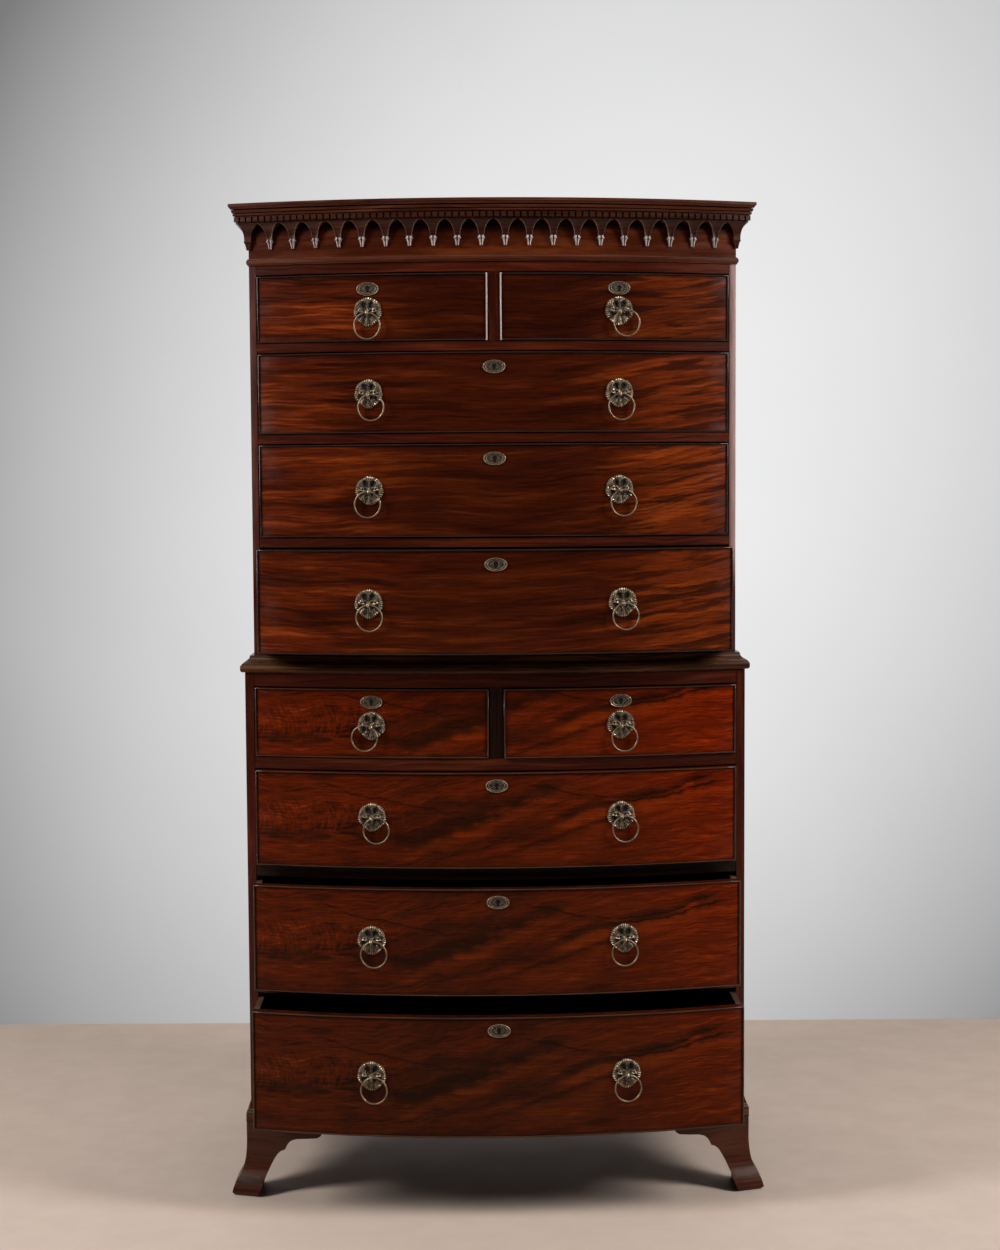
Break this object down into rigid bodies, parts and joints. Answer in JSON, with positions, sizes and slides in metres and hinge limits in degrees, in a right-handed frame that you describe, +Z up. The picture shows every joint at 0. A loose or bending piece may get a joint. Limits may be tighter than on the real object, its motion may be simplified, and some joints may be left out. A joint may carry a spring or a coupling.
{
  "type": "chest on chest",
  "caption": "Bow-fronted chest on chest: stacked cases of drawers with hanging ring pulls, a dentil cornice over a carved frieze, and flared bracket feet.",
  "frame": {"origin": "on the floor, below the middle of the whole piece as it stands in the picture, with its open drawers", "axes": "+Z up, the drawers open towards -Y, +X to the right of someone who faces them"},
  "size_m": [1.092, 0.731, 2.01],
  "materials": {
    "carcass": "worn dark red-brown polish",
    "drawer_front": "polished veneer with a stripy grain, worn at the edges",
    "lining": "bare wood",
    "brass": "dull, with a dark patina"
  },
  "bodies": {
    "case": {"foot_front_left": "carcass", "foot_rear_left": "carcass", "lower_side_left": "carcass", "upper_side_left": "carcass", "foot_front_right": "carcass", "foot_rear_right": "carcass", "lower_side_right": "carcass", "upper_side_right": "carcass", "lower_bottom_board": "carcass", "lower_back_boards": "lining", "lower_dustboard_3": "carcass", "lower_dustboard_2": "carcass", "lower_dustboard_1": "carcass", "lower_drawer_divider": "carcass", "lower_top_and_waist": "carcass", "upper_bottom_board": "carcass", "upper_back_boards": "lining", "upper_dustboard_3": "carcass", "upper_dustboard_2": "carcass", "upper_dustboard_1": "carcass", "upper_drawer_divider": "carcass", "upper_top_board": "carcass", "frieze": "carcass", "cornice": "carcass"},
    "upper_short_left": {"upper_short_left_front": "drawer_front", "upper_short_left_box": "lining"},
    "upper_short_right": {"upper_short_right_front": "drawer_front", "upper_short_right_box": "lining"},
    "upper_long_1": {"upper_long_1_front": "drawer_front", "upper_long_1_box": "lining"},
    "upper_long_2": {"upper_long_2_front": "drawer_front", "upper_long_2_box": "lining"},
    "upper_long_3": {"upper_long_3_front": "drawer_front", "upper_long_3_box": "lining"},
    "lower_short_left": {"lower_short_left_front": "drawer_front", "lower_short_left_box": "lining"},
    "lower_short_right": {"lower_short_right_front": "drawer_front", "lower_short_right_box": "lining"},
    "lower_long_1": {"lower_long_1_front": "drawer_front", "lower_long_1_box": "lining"},
    "lower_long_2": {"lower_long_2_front": "drawer_front", "lower_long_2_box": "lining"},
    "lower_long_3": {"lower_long_3_front": "drawer_front", "lower_long_3_box": "lining"},
    "upper_short_left_ring": {"upper_short_left_ring": "brass"},
    "upper_short_right_ring": {"upper_short_right_ring": "brass"},
    "upper_long_1_ring_left": {"upper_long_1_ring_left": "brass"},
    "upper_long_1_ring_right": {"upper_long_1_ring_right": "brass"},
    "upper_long_2_ring_left": {"upper_long_2_ring_left": "brass"},
    "upper_long_2_ring_right": {"upper_long_2_ring_right": "brass"},
    "upper_long_3_ring_left": {"upper_long_3_ring_left": "brass"},
    "upper_long_3_ring_right": {"upper_long_3_ring_right": "brass"},
    "lower_short_left_ring": {"lower_short_left_ring": "brass"},
    "lower_short_right_ring": {"lower_short_right_ring": "brass"},
    "lower_long_1_ring_left": {"lower_long_1_ring_left": "brass"},
    "lower_long_1_ring_right": {"lower_long_1_ring_right": "brass"},
    "lower_long_2_ring_left": {"lower_long_2_ring_left": "brass"},
    "lower_long_2_ring_right": {"lower_long_2_ring_right": "brass"},
    "lower_long_3_ring_left": {"lower_long_3_ring_left": "brass"},
    "lower_long_3_ring_right": {"lower_long_3_ring_right": "brass"}
  },
  "joints": [
    {"name": "upper_short_left_slide", "type": "slide", "parent": "case", "child": "upper_short_left", "axis": [0, -1, 0], "range_m": [0, 0.35]},
    {"name": "upper_short_right_slide", "type": "slide", "parent": "case", "child": "upper_short_right", "axis": [0, -1, 0], "range_m": [0, 0.35]},
    {"name": "upper_long_1_slide", "type": "slide", "parent": "case", "child": "upper_long_1", "axis": [0, -1, 0], "range_m": [0, 0.35]},
    {"name": "upper_long_2_slide", "type": "slide", "parent": "case", "child": "upper_long_2", "axis": [0, -1, 0], "range_m": [0, 0.35]},
    {"name": "upper_long_3_slide", "type": "slide", "parent": "case", "child": "upper_long_3", "axis": [0, -1, 0], "range_m": [-0.078, 0.272]},
    {"name": "lower_short_left_slide", "type": "slide", "parent": "case", "child": "lower_short_left", "axis": [0, -1, 0], "range_m": [0, 0.35]},
    {"name": "lower_short_right_slide", "type": "slide", "parent": "case", "child": "lower_short_right", "axis": [0, -1, 0], "range_m": [-0.006, 0.344]},
    {"name": "lower_long_1_slide", "type": "slide", "parent": "case", "child": "lower_long_1", "axis": [0, -1, 0], "range_m": [-0.013, 0.337]},
    {"name": "lower_long_2_slide", "type": "slide", "parent": "case", "child": "lower_long_2", "axis": [0, -1, 0], "range_m": [-0.083, 0.267]},
    {"name": "lower_long_3_slide", "type": "slide", "parent": "case", "child": "lower_long_3", "axis": [0, -1, 0], "range_m": [-0.141, 0.209]},
    {"name": "upper_short_left_ring_hinge", "type": "hinge", "parent": "upper_short_left", "child": "upper_short_left_ring", "pos_m": [-0.25151, -0.19944, 1.79055], "axis": [-0.9886, 0.1507, 0], "range_deg": [-6, 170]},
    {"name": "upper_short_right_ring_hinge", "type": "hinge", "parent": "upper_short_right", "child": "upper_short_right_ring", "pos_m": [0.25151, -0.19944, 1.79055], "axis": [-0.8384, -0.1278, -0.5299], "range_deg": [-6, 170]},
    {"name": "upper_long_1_ring_left_hinge", "type": "hinge", "parent": "upper_long_1", "child": "upper_long_1_ring_left", "pos_m": [-0.25151, -0.19944, 1.62865], "axis": [-0.9592, 0.1462, -0.2419], "range_deg": [-6, 170]},
    {"name": "upper_long_1_ring_right_hinge", "type": "hinge", "parent": "upper_long_1", "child": "upper_long_1_ring_right", "pos_m": [0.25151, -0.19944, 1.62865], "axis": [-0.9832, -0.1498, -0.1045], "range_deg": [-6, 170]},
    {"name": "upper_long_2_ring_left_hinge", "type": "hinge", "parent": "upper_long_2", "child": "upper_long_2_ring_left", "pos_m": [-0.25151, -0.19944, 1.43625], "axis": [-0.9832, 0.1498, 0.1045], "range_deg": [-6, 170]},
    {"name": "upper_long_2_ring_right_hinge", "type": "hinge", "parent": "upper_long_2", "child": "upper_long_2_ring_right", "pos_m": [0.25151, -0.19944, 1.43625], "axis": [-0.9503, -0.1448, -0.2756], "range_deg": [-6, 170]},
    {"name": "upper_long_3_ring_left_hinge", "type": "hinge", "parent": "upper_long_3", "child": "upper_long_3_ring_left", "pos_m": [-0.25151, -0.27744, 1.2146], "axis": [-0.9848, 0.1501, -0.0872], "range_deg": [-6, 170]},
    {"name": "upper_long_3_ring_right_hinge", "type": "hinge", "parent": "upper_long_3", "child": "upper_long_3_ring_right", "pos_m": [0.25151, -0.27744, 1.2146], "axis": [-0.9736, -0.1484, -0.1736], "range_deg": [-6, 170]},
    {"name": "lower_short_left_ring_hinge", "type": "hinge", "parent": "lower_short_left", "child": "lower_short_left_ring", "pos_m": [-0.2514, -0.21376, 0.96585], "axis": [-0.8487, 0.1203, 0.515], "range_deg": [-6, 170]},
    {"name": "lower_short_right_ring_hinge", "type": "hinge", "parent": "lower_short_right", "child": "lower_short_right_ring", "pos_m": [0.2514, -0.21976, 0.96585], "axis": [-0.9607, -0.1362, -0.2419], "range_deg": [-6, 170]},
    {"name": "lower_long_1_ring_left_hinge", "type": "hinge", "parent": "lower_long_1", "child": "lower_long_1_ring_left", "pos_m": [-0.2514, -0.22676, 0.78295], "axis": [-0.918, 0.1302, -0.3746], "range_deg": [-6, 170]},
    {"name": "lower_long_1_ring_right_hinge", "type": "hinge", "parent": "lower_long_1", "child": "lower_long_1_ring_right", "pos_m": [0.2514, -0.22676, 0.78295], "axis": [-0.9517, -0.135, -0.2756], "range_deg": [-6, 170]},
    {"name": "lower_long_2_ring_left_hinge", "type": "hinge", "parent": "lower_long_2", "child": "lower_long_2_ring_left", "pos_m": [-0.2514, -0.29676, 0.5488], "axis": [-0.9685, 0.1373, -0.2079], "range_deg": [-6, 170]},
    {"name": "lower_long_2_ring_right_hinge", "type": "hinge", "parent": "lower_long_2", "child": "lower_long_2_ring_right", "pos_m": [0.2514, -0.29676, 0.5488], "axis": [-0.9901, -0.1404, 0], "range_deg": [-6, 170]},
    {"name": "lower_long_3_ring_left_hinge", "type": "hinge", "parent": "lower_long_3", "child": "lower_long_3_ring_left", "pos_m": [-0.2514, -0.35476, 0.2929], "axis": [-0.9647, 0.1368, -0.225], "range_deg": [-6, 170]},
    {"name": "lower_long_3_ring_right_hinge", "type": "hinge", "parent": "lower_long_3", "child": "lower_long_3_ring_right", "pos_m": [0.2514, -0.35476, 0.2929], "axis": [-0.9887, -0.1402, -0.0523], "range_deg": [-6, 170]}
  ]
}
